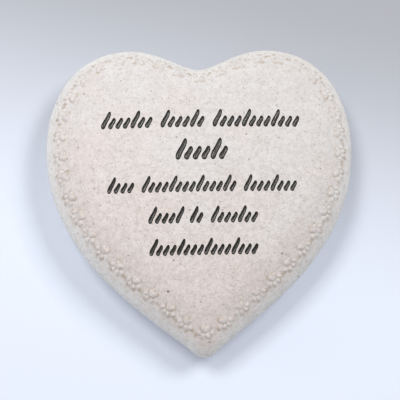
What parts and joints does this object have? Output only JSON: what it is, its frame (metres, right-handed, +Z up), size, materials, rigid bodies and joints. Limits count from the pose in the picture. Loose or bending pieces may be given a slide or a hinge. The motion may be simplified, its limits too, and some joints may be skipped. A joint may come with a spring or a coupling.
{
  "type": "cat memorial stone",
  "caption": "Heart-shaped memorial stone with a pillowed face, a raised border of paw prints, rows of engraved strokes and a flat back.",
  "frame": {"origin": "middle of the flat underside, which is the stone's back", "axes": "+Z up out of the carved face, +Y from the tip towards the two lobes, +X to the right as the face is read"},
  "size_m": [0.15, 0.151, 0.038],
  "materials": {
    "cast_stone": "matt cast stone, resin-bonded, warm white with fine brown and grey speckles; engraved strokes filled with glossy black paint"
  },
  "bodies": {
    "root": {"memorial_stone": "cast_stone"}
  },
  "joints": []
}
